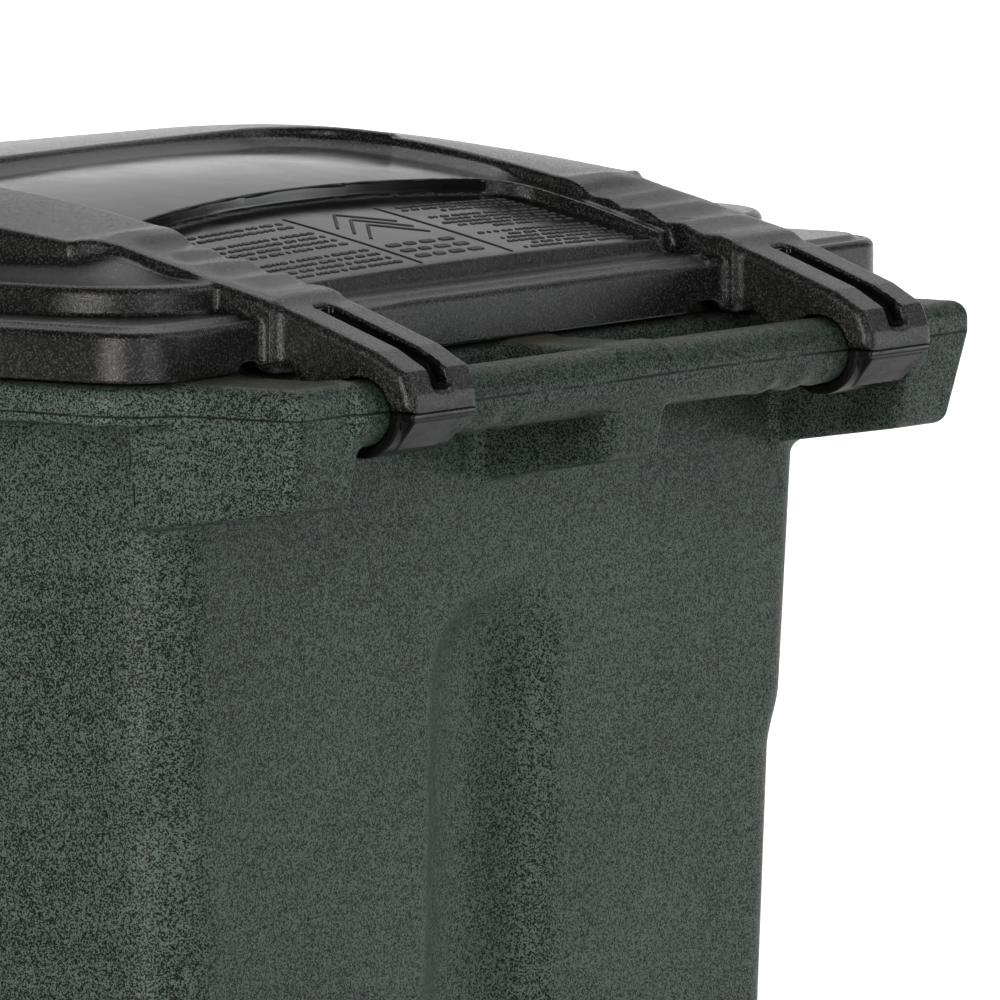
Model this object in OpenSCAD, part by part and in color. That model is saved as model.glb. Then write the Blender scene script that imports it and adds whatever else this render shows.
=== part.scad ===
// Two-wheeled wheelie bin: drafted tub with an integral rear handle bar,
// domed lid that hinges on the handle bar, snap-on wheels on a steel axle,
// and a free-turning steel stop bar in a front pocket.
// Frame: origin on the ground under the middle of the object, +Z up,
// the front faces -Y, the handle and the wheels are at +Y.

/* [Overall] */
// Half width of the lid skirt, the widest part
lid_hw = 308; // [290:1:330]
// Height of the rim's top face above the ground
rim_z = 990; // [960:1:1010]
// Crown height of the lid above the ground
crown_z = 1067; // [1062:1:1072]

/* [Tub] */
// Wall thickness of the tub
wall = 5; // [4:0.5:6]
// Half width of the tub under the rim
tub_hw = 265; // [255:1:275]
// Half width of the tub at the ground
foot_hw = 230; // [220:1:240]
// How far the side walls step in below the upper band
side_step = 8; // [4:1:12]
// Radius of the tub's upright corners
tub_r = 29; // [20:1:36]
// Half width of the rim flange
rim_hw = 304.5; // [300:0.5:310]
// Depth of the upright channel in the rear wall
channel_d = 16; // [8:1:20]
// Half width of the upright channel in the rear wall
channel_hw = 50; // [40:1:60]

/* [Handle and hinge] */
// Radius of the handle bar, which is also the hinge shaft
bar_r = 15; // [14:0.5:16]
// Distance of the handle axis behind the origin
bar_y = 372; // [370:0.5:374]
// Inner face of each lid arm
arm_in = 161; // [155:1:165]
// Outer face of each lid arm
arm_out = 215; // [210:1:218]
// Running clearance between the bar and the hinge bore
hinge_gap = 0.06; // [0.04:0.01:0.1]

/* [Lid] */
// Thickness of the lid skin
skin = 3.5; // [3:0.5:4.5]
// Half width of the raised lid shoulder
shoulder_hw = 269; // [262:1:275]
// Depth of the panel between the ribs
panel_drop = 8; // [5:0.5:10]

/* [Wheels] */
// Radius of the tyre
wheel_r = 127; // [120:1:130]
// Width of the tyre
wheel_w = 44; // [40:1:46]
// Distance of the middle of each wheel from the centre plane
wheel_x = 245; // [243:1:248]
// Distance of the axle behind the origin
axle_y = 235; // [232:1:238]
// Radius of the axle
axle_r = 8; // [8:0.05:8.2]

/* [Stop bar] */
// Outer radius of the stop bar tube
stop_r = 12.7; // [11:0.1:13.5]
// Height of the stop bar above the ground
stop_z = 445; // [430:5:460]

/* [Hidden] */
$fn = 64;
bar_z = rim_z - bar_r;
skirt_z = rim_z + 1.5;
top_z = skirt_z + 23;
gap = 0.06;
latch_x = wheel_x + 12.5;
groove_r = 5.5;
stop_y = -326;

// ---------- helpers ----------
// Rounded rectangle in plan, from (-hw, y0) to (hw, y1)
module plan(hw, y0, y1, r) {
  translate([-hw + r, y0]) square([2 * (hw - r), y1 - y0]);
  translate([-hw, y0 + r]) square([2 * hw, y1 - y0 - 2 * r]);
  for (sx = [-1, 1]) for (y = [y0 + r, y1 - r])
    translate([sx * (hw - r), y]) circle(r);
}
module slab(hw, y0, y1, r, z, h = 0.01) {
  translate([0, 0, z]) linear_extrude(h) plan(hw, y0, y1, r, $fn = 32);
}
// Side profile in (Y, Z) pulled from x0 to x1
module side(x0, x1) {
  translate([x0, 0, 0]) rotate([90, 0, 90]) linear_extrude(x1 - x0) children();
}
module xcyl(x0, x1, r, y, z) {
  translate([x0, y, z]) rotate([0, 90, 0]) cylinder(h = x1 - x0, r = r);
}
module box(x0, x1, y0, y1, z0, z1) {
  translate([x0, y0, z0]) cube([x1 - x0, y1 - y0, z1 - z0]);
}

// ---------- tub ----------
// Rear and front faces of the tub at height z
function rear(z) = z > 793 ? 307.5 - (972 - z) * 0.0367 : 300.9 - (793 - z) * 0.0262;
function front(z) = -372 + (972 - z) * 0.0535;
function half(z) = z > 799 ? tub_hw - (972 - z) * 0.0367
                           : tub_hw - 6.2 - side_step - (799 - z) * (tub_hw - 6.2 - side_step - foot_hw) / 799;
module tub_level(z, t) { slab(half(z) - t, front(z) + t, rear(z) - t, tub_r - t, z); }
module tub_form(t, z0, z1) {
  hull() { tub_level(805, t); slab(half(972) - t, front(972) + t, rear(972) - t, tub_r - t, z1 - 0.01); }
  hull() { tub_level(793, t); tub_level(805, t); }
  hull() { tub_level(z0, t); tub_level(793, t); }
}
// Space that each wheel needs, grown by g
module wells(g) {
  for (s = [-1, 1]) {
    x0 = s > 0 ? 205 - g : -400;
    x1 = s > 0 ? 400 : -205 + g;
    xcyl(x0, x1, wheel_r + 14 + g, axle_y, wheel_r);
    box(x0, x1, axle_y - wheel_r - 14 - g, 420, -10, wheel_r);
  }
  box(-400, 400, 168 - g, 420, -10, 150 + g);
}
// Concave channel in the rear wall, grown by g
module channel(g) {
  r = (channel_hw * channel_hw + channel_d * channel_d) / (2 * channel_d);
  yc = rear(500) - channel_d + r;
  translate([0, yc, 500]) rotate([-1.6, 0, 0]) {
    translate([0, 0, -320]) cylinder(h = 640, r = r + g);
    translate([0, 0, 320]) sphere(r + g);
    translate([0, 0, -320]) sphere(r + g);
  }
}
// Front pockets: stop bar pocket and the saddle under the rim, grown by g
module pockets(g) {
  box(-105 - g, 105 + g, -420, stop_y + 38 + g, stop_z - 45 - g, stop_z + 45 + g);
  side(-115 - g, 115 + g)
    polygon([[-420, 770 - g], [front(770) + 2 + g, 770 - g], [front(840) + 34 + g, 800 - g],
             [front(840) + 34 + g, 838 + g], [-420, 838 + g]]);
}
module bin_body() {
  color([0.12, 0.2, 0.16]) difference() {
    union() {
      difference() {
        tub_form(0, 0, rim_z);
        wells(0);
        channel(0);
        pockets(0);
      }
      // rim flange with a turned-down lip
      difference() {
        translate([0, 0, 972]) linear_extrude(rim_z - 972) plan(rim_hw, -386, 321, 38);
        translate([0, 0, 970]) linear_extrude(rim_z - 5 - 970) plan(rim_hw - 4, -382, 317, 34);
      }
      // journals that carry the axle
      for (x = [-200, -15, 170]) side(x, x + 30)
        polygon([[190, 158], [axle_y - 24, wheel_r - 22], [axle_y + 24, wheel_r - 22], [272, 158]]);
      // end blocks and centre block of the handle
      for (x = [-278, -22, 225]) side(x, x == -22 ? 22 : x + 53)
        polygon([[292, 926], [379.6, 937], [379.6, 968], [bar_y + 8, rim_z - 2], [bar_y, rim_z], [292, rim_z]]);
      xcyl(-278, 278, bar_r, bar_y, bar_z);
      // keepers round the stop bar's ends
      for (s = [-1, 1]) xcyl(s > 0 ? 100 : -122, s > 0 ? 122 : -100, 20, stop_y, stop_z);
    }
    // cavity
    difference() {
      tub_form(wall, wall + 1, rim_z + 2);
      wells(wall);
      channel(wall);
      pockets(wall);
      box(-127, 127, -420, stop_y + 24, stop_z - 50, stop_z + 50);
    }
    // axle bores and stop bar bores
    xcyl(-210, 210, axle_r + gap, axle_y, wheel_r);
    xcyl(-118, 118, stop_r + gap, stop_y, stop_z);
    // mouths through which the bar snaps into its keepers
    box(-118, 118, -420, stop_y, stop_z - stop_r + 2, stop_z + stop_r - 2);
    // moulded-in relief under the base, leaving a foot all round
    box(-foot_hw + 40, foot_hw - 40, -270, 120, -1, 4);
  }
}

// ---------- lid ----------
// Crown line of the lid and its ribs along Y
function hermite(t, a, b, da, db) = (2*t*t*t - 3*t*t + 1)*a + (t*t*t - 2*t*t + t)*da
                                  + (3*t*t - 2*t*t*t)*b + (t*t*t - t*t)*db;
function dome(y) = y > 72 ? crown_z - 0.0007 * (y - 72) * (y - 72)
  : y > -113 ? crown_z - 0.0006 * (y - 72) * (y - 72)
  : hermite((-113 - y) / 272, crown_z - 20.5, 1023, -0.222 * 272, -0.03 * 272);
function dome_line(y0, y1, n, dz) = [for (i = [0:n]) let (y = y0 + (y1 - y0) * i / n) [y, dome(y) - dz]];
// Middle plateau, which the panels lie in
function plateau(y) = crown_z - 9 - 0.0008 * (y - 95) * (y - 95);
function plateau_line(y0, y1, n, dz) = [for (i = [0:n]) let (y = y0 + (y1 - y0) * i / n) [y, plateau(y) - dz]];
// Three knuckles that step down the rear of each rib
knuckle_y = [259, 279, 299.5, 320];
knuckle_z = [crown_z - 24.5, crown_z - 29.7, crown_z - 35.4, 1025];
function knuckles(dz) = [for (k = [0:2]) for (i = [0:4]) let (t = i / 4)
  [knuckle_y[k] + t * (knuckle_y[k+1] - knuckle_y[k]),
   knuckle_z[k] + t * (knuckle_z[k+1] - knuckle_z[k]) + 2.6 * sin(180 * t) - dz]];
lid_y0 = -400;
module rib_rear(x0, x1, dz, y_end, z_low) side(x0, x1)
  polygon(concat([[y_end, z_low], [150, z_low]], dome_line(150, 250, 8, dz), knuckles(dz),
                 [[y_end, 1024 - dz]]));
// Dome from y0 to y1, lowered by d
module dome_band(x0, x1, y0, y1, n, d, z_low) side(x0, x1)
  polygon(concat([[y1, z_low], [y0, z_low]], dome_line(y0, y1, n, d)));
module plateau_band(x0, x1, y0, y1, n, d, z_low) side(x0, x1)
  polygon(concat([[y1, z_low], [y0, z_low]], plateau_line(y0, y1, n, d)));
// Outward slope of the shoulder's top, from the rib down to the shoulder's edge
module shoulder_slope(y0, y1, d) translate([0, y1, 0]) rotate([90, 0, 0]) linear_extrude(y1 - y0)
  polygon([[150, 1010], [262, 1010], [262, 1029.5 - d], [246, 1036 - d], [200, 1038 - d], [150, 1038 - d]]);
module arm(x0, x1) {
  difference() {
    side(x0, x1) polygon([[312, skirt_z + 2], [335, skirt_z + 1], [352, bar_z + 1], [400, bar_z + 1],
      [399.5, 984], [395.5, 994], [380.3, 1002.6], [339.8, 1017.6], [320, 1025], [306, 1026]]);
    xcyl(x0 - 1, x1 + 1, bar_r + hinge_gap, bar_y, bar_z);
    // groove along the top and down the end of the arm
    translate([(x0 + x1) / 2, 0, 0]) side(-7, 7)
      polygon([[332, 1032], [332, 1013], [384, 993], [391, 984.5], [410, 984.5], [410, 1032]]);
  }
}
module lid() {
  color([0.07, 0.07, 0.075]) difference() {
    union() {
      translate([0, 0, skirt_z]) linear_extrude(top_z - skirt_z) plan(lid_hw, lid_y0, 322, 29);
      translate([0, 0, top_z - 0.5]) linear_extrude(1030 - top_z) plan(shoulder_hw, -352, 298, 55);
      for (s = [0, 1]) mirror([s, 0, 0]) {
        rib_rear(arm_in, arm_out, 0, 320, 1000);
        dome_band(arm_in, 246, -370, 238, 30, 1, 1000);
        shoulder_slope(-345, 262, 0);
        arm(arm_in, arm_out);
      }
      dome_band(-arm_in - 1, arm_in + 1, -370, 82, 26, 0.5, 1000);
      plateau_band(-arm_in - 1, arm_in + 1, 80, 295, 22, -1.5, 1000);
      // grab lip along the front edge
      translate([0, 0, skirt_z - 12]) linear_extrude(14) plan(90, lid_y0, -388, 5);
    }
    // sunk rear panel
    side(-arm_in + 8, arm_in - 8)
      polygon(concat([[289, 1080], [204, 1080]], plateau_line(204, 289, 8, 7)));
    // hollow underside
    difference() {
      union() {
        translate([0, 0, skirt_z - 1]) linear_extrude(top_z - skin - skirt_z + 1) plan(lid_hw - skin, lid_y0 + skin, 322 - skin, 26);
        translate([0, 0, skirt_z]) linear_extrude(1029.5 - skin - skirt_z) plan(shoulder_hw - skin, -352 + skin, 298 - skin, 52);
        for (s = [0, 1]) mirror([s, 0, 0]) {
          rib_rear(arm_in + skin, arm_out - skin, skin + 1, 306, skirt_z);
          dome_band(arm_in + skin, 246 - skin, -366, 234, 30, skin + 1, skirt_z);
          shoulder_slope(-341, 258, skin);
        }
        dome_band(-arm_in - skin - 2, arm_in + skin + 2, -366, 78, 26, skin + 0.5, skirt_z);
        plateau_band(-arm_in - skin - 2, arm_in + skin + 2, 70, 291, 22, skin - 1.5, skirt_z);
      }
      // skin under the sunk panel and round its walls
      side(-arm_in + 8 - skin, arm_in - 8 + skin)
        polygon(concat([[292, 1090], [204 - skin, 1090]], plateau_line(204 - skin, 292, 8, 7 + skin)));
      // walls between the ribs and the plateau
      for (s = [0, 1]) mirror([s, 0, 0]) box(arm_in - 1, arm_in + skin, 76, 300, 1021, 1090);
      box(-arm_in, arm_in, 74.5, 78, 1040, 1090);
    }
  }
}
// Lower half of the hinge: a saddle clipped under the arm
module hinge_clip() {
  color([0.04, 0.04, 0.045]) difference() {
    union() {
      intersection() {
        xcyl(arm_in + 2, arm_out - 2, bar_r + 4.2, bar_y, bar_z);
        box(arm_in, arm_out, 340, 399, bar_z - 30, bar_z + 1);
      }
      // trapezoid face and its gussets behind the bar
      side(arm_in + 2, arm_out - 2) polygon([[388, bar_z - 9], [399, bar_z - 6], [399, bar_z + 1], [386, bar_z + 1]]);
      for (x = [arm_in + 2, arm_out - 5]) side(x, x + 3)
        polygon([[354, bar_z + 1], [352, bar_z - 6], [362, bar_z - 21], [380, bar_z - 21], [399, bar_z - 6], [399, bar_z + 1]]);
    }
    xcyl(arm_in - 1, arm_out + 1, bar_r + hinge_gap, bar_y, bar_z);
  }
}
module hinge_clip_left() mirror([1, 0, 0]) hinge_clip();
module hinge_clip_right() hinge_clip();

// ---------- running gear, drawn for the +X side ----------
module sided(s) { if (s > 0) children(); else mirror([1, 0, 0]) children(); }
module axle() {
  color([0.62, 0.64, 0.66]) {
    difference() {
      xcyl(-wheel_x - 19, wheel_x + 19, axle_r, axle_y, wheel_r);
      for (s = [-1, 1]) difference() {
        xcyl(s * latch_x - 3.3, s * latch_x + 3.3, axle_r + 2, axle_y, wheel_r);
        xcyl(s * latch_x - 4, s * latch_x + 4, groove_r, axle_y, wheel_r);
      }
    }
  }
}
module axle_spacer() {
  color([0.1, 0.1, 0.1]) difference() {
    xcyl(201, wheel_x - wheel_w / 2 - 0.4, 12, axle_y, wheel_r);
    xcyl(190, 300, axle_r + gap, axle_y, wheel_r);
  }
}
module wheel() {
  hub_o = wheel_x + wheel_w / 2 - 2;
  hub_i = wheel_x - wheel_w / 2;
  color([0.09, 0.09, 0.09]) difference() {
    union() {
      xcyl(hub_i, hub_o, 24, axle_y, wheel_r);
      difference() {
        xcyl(wheel_x - 20, wheel_x + 20, 108, axle_y, wheel_r);
        xcyl(wheel_x - 21, wheel_x + 21, 97, axle_y, wheel_r);
      }
      xcyl(wheel_x - 3, wheel_x + 3, 100, axle_y, wheel_r);
      for (a = [22.5:45:359]) translate([wheel_x, axle_y, wheel_r]) rotate([a, 0, 0])
        translate([-14, -2.5, 22]) cube([28, 5, 78]);
    }
    xcyl(hub_i - 1, wheel_x + 5, 11 + gap, axle_y, wheel_r);
    xcyl(hub_i - 1, hub_o + 1, axle_r + gap, axle_y, wheel_r);
    // room for the cap's skirt, across the spokes
    difference() { xcyl(latch_x - 8.3, hub_o + 2, 27.3, axle_y, wheel_r); xcyl(0, 300, 24, axle_y, wheel_r); }
    // latch pin bore and spring chamber
    translate([latch_x, axle_y, wheel_r]) cylinder(h = 30, r = 3 + gap);
    translate([latch_x, axle_y, wheel_r + 11]) cylinder(h = 20, r = 5.4 + gap);
    // four round windows in the web
    for (a = [0:45:359]) translate([wheel_x, axle_y, wheel_r]) rotate([a, 0, 0])
      translate([-30, 0, 62]) rotate([0, 90, 0]) cylinder(h = 60, r = 17);
  }
}
module tyre() {
  w = wheel_w / 2;
  color([0.05, 0.05, 0.05]) translate([wheel_x, axle_y, wheel_r]) rotate([0, 90, 0])
    rotate_extrude($fn = 96) difference() {
      polygon([[108.02, -w + 4], [114, -w], [120, -w], [wheel_r - 1.5, -w + 7], [wheel_r, -w + 12],
               [wheel_r, w - 12], [wheel_r - 1.5, w - 7], [120, w], [114, w], [108.02, w - 4]]);
      for (y = [-8, 8]) translate([wheel_r - 2, y - 1.5]) square([4, 3]);
    }
}
module wheel_bush() {
  color([0.85, 0.84, 0.8]) difference() {
    union() {
      xcyl(wheel_x - wheel_w / 2, wheel_x + 5 - 0.1, 11, axle_y, wheel_r);
    }
    xcyl(0, 400, axle_r + gap, axle_y, wheel_r);
  }
}
// Spring-loaded pin whose tip runs in the axle's groove
module latch_pin() {
  color([0.75, 0.76, 0.78]) translate([latch_x, axle_y, wheel_r]) {
    translate([0, 0, groove_r + 0.1]) cylinder(h = 7, r = 3);
    translate([0, 0, 11.05]) cylinder(h = 2.2, r = 5.4);
    translate([0, 0, 13]) cylinder(h = 3, r = 2);
  }
}
// Coil spring that pushes the pin inwards: rings of points along a helix
coil_turns = 3.5;
coil_steps = 56;
coil_sides = 6;
function coil_point(i, k) = let (t = i / coil_steps, a = 360 * coil_turns * t, b = 360 * k / coil_sides,
    r = 3.9 + 0.6 * cos(b)) [r * cos(a), r * sin(a), 0.7 + 8.7 * t + 0.6 * sin(b)];
module latch_spring() {
  color([0.7, 0.7, 0.72]) translate([latch_x, axle_y, wheel_r + 13.85])
    polyhedron(
      points = [for (i = [0:coil_steps]) for (k = [0:coil_sides - 1]) coil_point(i, k)],
      faces = concat(
        [[for (k = [0:coil_sides - 1]) k]],
        [for (i = [0:coil_steps - 1]) for (k = [0:coil_sides - 1]) let (k2 = (k + 1) % coil_sides)
          each [[i * coil_sides + k, (i + 1) * coil_sides + k, (i + 1) * coil_sides + k2],
                [i * coil_sides + k, (i + 1) * coil_sides + k2, i * coil_sides + k2]]],
        [[for (k = [coil_sides - 1:-1:0]) coil_steps * coil_sides + k]]));
}
// Cap pressed over the hub's outer end, which also closes the spring chamber
module hub_cap() {
  hub_o = wheel_x + wheel_w / 2 - 2;
  color([0.07, 0.07, 0.07]) translate([0, axle_y, wheel_r]) rotate([0, 90, 0]) rotate_extrude($fn = 72)
    polygon([[0, hub_o + 0.2], [24.05, hub_o + 0.2], [24.05, latch_x - 8], [27, latch_x - 8],
             [27, hub_o + 1], [25, hub_o + 3.5], [20, hub_o + 4.6], [0, hub_o + 5]]);
}
module axle_spacer_left() sided(-1) axle_spacer();
module axle_spacer_right() sided(1) axle_spacer();
module wheel_left() sided(-1) wheel();
module wheel_right() sided(1) wheel();
module tyre_left() sided(-1) tyre();
module tyre_right() sided(1) tyre();
module wheel_bush_left() sided(-1) wheel_bush();
module wheel_bush_right() sided(1) wheel_bush();
module latch_pin_left() sided(-1) latch_pin();
module latch_pin_right() sided(1) latch_pin();
module latch_spring_left() sided(-1) latch_spring();
module latch_spring_right() sided(1) latch_spring();
module hub_cap_left() sided(-1) hub_cap();
module hub_cap_right() sided(1) hub_cap();

// ---------- front stop bar ----------
module stop_bar() {
  color([0.66, 0.68, 0.7]) difference() {
    xcyl(-114, 114, stop_r, stop_y, stop_z);
    xcyl(-120, 120, stop_r - 2, stop_y, stop_z);
  }
}
module stop_bar_plug() {
  color([0.06, 0.06, 0.06]) {
    xcyl(100, 114.01, stop_r - 2.02, stop_y, stop_z);
    xcyl(114, 117, stop_r, stop_y, stop_z);
  }
}
module stop_bar_plug_left() sided(-1) stop_bar_plug();
module stop_bar_plug_right() sided(1) stop_bar_plug();

bin_body();
lid();
hinge_clip_left();
hinge_clip_right();
axle();
axle_spacer_left();
axle_spacer_right();
wheel_left();
wheel_right();
tyre_left();
tyre_right();
wheel_bush_left();
wheel_bush_right();
latch_pin_left();
latch_pin_right();
latch_spring_left();
latch_spring_right();
hub_cap_left();
hub_cap_right();
stop_bar();
stop_bar_plug_left();
stop_bar_plug_right();
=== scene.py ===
"""Looks for the two-wheeled wheelie bin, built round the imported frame. Lengths in the shape code are millimetres."""

import math
import time
from concurrent.futures import ThreadPoolExecutor

import bpy
import numpy as np
from mathutils import Matrix, Vector


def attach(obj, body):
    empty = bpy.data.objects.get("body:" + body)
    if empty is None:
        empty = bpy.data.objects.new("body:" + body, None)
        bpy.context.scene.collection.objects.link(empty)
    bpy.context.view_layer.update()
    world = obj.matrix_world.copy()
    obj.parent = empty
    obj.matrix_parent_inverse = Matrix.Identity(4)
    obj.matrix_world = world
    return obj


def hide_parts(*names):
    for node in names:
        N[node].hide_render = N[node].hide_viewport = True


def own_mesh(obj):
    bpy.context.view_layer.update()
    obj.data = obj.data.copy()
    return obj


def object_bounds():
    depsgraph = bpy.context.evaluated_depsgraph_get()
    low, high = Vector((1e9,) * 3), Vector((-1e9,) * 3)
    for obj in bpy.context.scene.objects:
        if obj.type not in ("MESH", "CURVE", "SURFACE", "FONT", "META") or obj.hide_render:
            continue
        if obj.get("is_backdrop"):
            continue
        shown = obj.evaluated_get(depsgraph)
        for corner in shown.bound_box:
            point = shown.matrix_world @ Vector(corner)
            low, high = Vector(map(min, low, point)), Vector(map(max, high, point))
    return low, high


T0 = time.perf_counter()
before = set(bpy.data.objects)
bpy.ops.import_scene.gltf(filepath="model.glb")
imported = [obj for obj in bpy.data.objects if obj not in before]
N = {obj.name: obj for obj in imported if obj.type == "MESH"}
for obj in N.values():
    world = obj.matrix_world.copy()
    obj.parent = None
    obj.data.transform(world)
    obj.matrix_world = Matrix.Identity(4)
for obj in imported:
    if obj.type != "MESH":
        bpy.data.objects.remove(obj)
CAD_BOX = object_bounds()


# ------------------------------------------------------------------ distance fields
def box2(x, y, cx, cy, hx, hy, r):
    qx = np.abs(x - cx) - (hx - r)
    qy = np.abs(y - cy) - (hy - r)
    return np.hypot(np.maximum(qx, 0), np.maximum(qy, 0)) + np.minimum(np.maximum(qx, qy), 0) - r


def uni(a, b, r=0.0):
    if r <= 0:
        return np.minimum(a, b)
    return np.maximum(r, np.minimum(a, b)) - np.hypot(np.maximum(r - a, 0), np.maximum(r - b, 0))


def inter(a, b, r=0.0):
    if r <= 0:
        return np.maximum(a, b)
    return np.minimum(-r, np.maximum(a, b)) + np.hypot(np.maximum(r + a, 0), np.maximum(r + b, 0))


def cut(a, b, r=0.0):
    return inter(a, -b, r)


def sstep(a, b, t):
    u = np.clip((t - a) / (b - a), 0, 1)
    return u * u * (3 - 2 * u)


def poly2(u, v, pts):
    """Distance to a closed polygon in the (u, v) plane, negative inside."""
    pts = np.asarray(pts, float)
    d = None
    inside = None
    n = len(pts)
    for i in range(n):
        ax, ay = pts[i]
        bx, by = pts[(i + 1) % n]
        ex, ey = bx - ax, by - ay
        wx, wy = u - ax, v - ay
        t = np.clip((wx * ex + wy * ey) / (ex * ex + ey * ey), 0, 1)
        q = (wx - ex * t) ** 2 + (wy - ey * t) ** 2
        d = q if d is None else np.minimum(d, q)
        c = ((ay > v) != (by > v)) & (u < (bx - ax) * (v - ay) / ((by - ay) or 1e-9) + ax)
        inside = c if inside is None else inside ^ c
    return np.sqrt(d) * np.where(inside, -1.0, 1.0)


def axis(*runs):
    """Grid coordinates from runs of (start, end, step)."""
    out = []
    for a, b, s in runs:
        n = max(1, int(round((b - a) / s)))
        out += list(a + (b - a) * np.arange(n) / n)
    out.append(runs[-1][1])
    return np.array(out)


def nets(F, xs, ys, zs):
    """Surface nets of a field sampled on a rectilinear grid: (vertices, quads)."""
    S = F < 0
    c = np.zeros(tuple(n - 1 for n in F.shape), np.uint8)
    for i in (0, 1):
        for j in (0, 1):
            for k in (0, 1):
                c += S[i : i + c.shape[0], j : j + c.shape[1], k : k + c.shape[2]]
    act = (c > 0) & (c < 8)
    idx = np.full(c.shape, -1, np.int32)
    I, J, K = np.nonzero(act)
    idx[I, J, K] = np.arange(len(I), dtype=np.int32)
    acc = np.zeros((len(I), 3))
    cnt = np.zeros(len(I))
    ax = (xs, ys, zs)
    ijk = (I, J, K)
    for a in range(3):
        b, d = [q for q in range(3) if q != a]
        for ob in (0, 1):
            for od in (0, 1):
                lo = [I, J, K]
                lo[b] = lo[b] + ob
                lo[d] = lo[d] + od
                hi = list(lo)
                hi[a] = hi[a] + 1
                f0 = F[lo[0], lo[1], lo[2]].astype(float)
                f1 = F[hi[0], hi[1], hi[2]].astype(float)
                m = (f0 < 0) != (f1 < 0)
                t = np.where(m, f0 / np.where(m, f0 - f1, 1), 0)
                p = [None] * 3
                p[a] = ax[a][lo[a]] + t * (ax[a][hi[a]] - ax[a][lo[a]])
                p[b] = ax[b][lo[b]]
                p[d] = ax[d][lo[d]]
                for q in range(3):
                    acc[:, q] += np.where(m, p[q], 0)
                cnt += m
    V = acc / cnt[:, None]
    quads = []
    for a in range(3):
        b, d = (a + 1) % 3, (a + 2) % 3
        sl0 = [slice(None)] * 3
        sl1 = [slice(None)] * 3
        sl0[a] = slice(0, -1)
        sl1[a] = slice(1, None)
        ch = S[tuple(sl0)] != S[tuple(sl1)]
        P = list(np.nonzero(ch))
        ok = (P[b] > 0) & (P[d] > 0) & (P[b] < F.shape[b] - 1) & (P[d] < F.shape[d] - 1)
        P = [p[ok] for p in P]
        neg = S[P[0], P[1], P[2]]
        cs = []
        for ob, od in ((-1, -1), (0, -1), (0, 0), (-1, 0)):
            q = list(P)
            q[b] = q[b] + ob
            q[d] = q[d] + od
            cs.append(idx[q[0], q[1], q[2]])
        Q = np.stack(cs, 1)
        Q[~neg] = Q[~neg][:, ::-1]
        quads.append(Q)
    return V, np.concatenate(quads)


def field_mesh(name, f, xh, ys, zs, faces=0, steps=3, mirror=True):
    """Meshes f(|x|, y, z) over both halves, puts the vertices on the true surface, thins the mesh and sets its normals from the field."""
    t = time.perf_counter()

    def slab(a):
        X = xh[a : a + 6][:, None, None]
        return np.broadcast_to(f(X, ys[None, :, None], zs[None, None, :]), (X.shape[0], len(ys), len(zs))).astype(np.float32)

    with ThreadPoolExecutor(4) as pool:
        out = list(pool.map(slab, range(0, len(xh), 6)))
    F = np.concatenate(out)
    t1 = time.perf_counter()
    if mirror:
        F = np.concatenate([F[:0:-1], F])
        xs = np.concatenate([-xh[:0:-1], xh])
    else:
        xs = xh
    V, Q = nets(F, xs, ys, zs)
    del F, out

    def g(P):
        def part(i):
            x = np.abs(P[i : i + 40000, 0]) if mirror else P[i : i + 40000, 0]
            return np.asarray(f(x, P[i : i + 40000, 1], P[i : i + 40000, 2]), float)

        with ThreadPoolExecutor(4) as pool:
            return np.concatenate(list(pool.map(part, range(0, len(P), 40000))))

    def grad(P, h=0.15):
        G = np.zeros_like(P)
        for a in range(3):
            E = np.zeros(3)
            E[a] = h
            G[:, a] = (g(P + E) - g(P - E)) / (2 * h)
        return G

    def settle(P, n):
        for _ in range(n):
            G = grad(P)
            L = np.maximum((G * G).sum(1), 0.25)
            stepv = -(g(P) / L)[:, None] * G
            ln = np.linalg.norm(stepv, axis=1)
            P = P + stepv * np.minimum(1, 0.7 / np.maximum(ln, 1e-9))[:, None]
        return P

    t2 = time.perf_counter()
    V = settle(V, steps)
    t3 = time.perf_counter()
    me = bpy.data.meshes.new(name)
    me.from_pydata((V * 0.001).tolist(), [], Q.tolist())
    ob = bpy.data.objects.new(name, me)
    bpy.context.scene.collection.objects.link(ob)
    tris = 2 * len(Q)
    if faces and tris > faces:
        m = ob.modifiers.new("thin", "DECIMATE")
        m.ratio = faces / tris
        dg = bpy.context.evaluated_depsgraph_get()
        new = bpy.data.meshes.new_from_object(ob.evaluated_get(dg), depsgraph=dg)
        ob.modifiers.clear()
        ob.data = new
        bpy.data.meshes.remove(me)
        me = new
        me.name = name
        n = len(me.vertices)
        co = np.zeros(n * 3)
        me.vertices.foreach_get("co", co)
        V = settle(co.reshape(-1, 3) * 1000, 2)
        me.vertices.foreach_set("co", (V * 0.001).ravel())
        me.update()
    G = grad(V, 0.25)
    G /= np.maximum(np.linalg.norm(G, axis=1), 1e-9)[:, None]
    me.polygons.foreach_set("use_smooth", [True] * len(me.polygons))
    me.normals_split_custom_set_from_vertices(G.tolist())
    me.update()
    print(f"{name}: {len(Q)} quads -> {len(me.polygons)} faces, {time.perf_counter() - t:.1f} s (field {t1 - t:.1f}, nets {t2 - t1:.1f}, settle {t3 - t2:.1f})")
    return ob


# ------------------------------------------------------------------ shared dimensions (mm)
RIM, BAR_R, BAR_Y = 990.0, 15.0, 372.0
BAR_Z = RIM - BAR_R
SK = RIM + 1.5
TOP = SK + 23


# ------------------------------------------------------------------ the tub
def half(z):
    up = 265 - (972 - z) * 0.0367
    lo = 251.2 - (799 - z) * 0.02603
    return lo + (up - lo) * sstep(783, 812, z)


def rear(z):
    return np.where(z > 793, 307.5 - (972 - z) * 0.0367, 300.93 - (793 - z) * 0.0262)


def front(z):
    return -372 + (972 - z) * 0.0535


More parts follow.
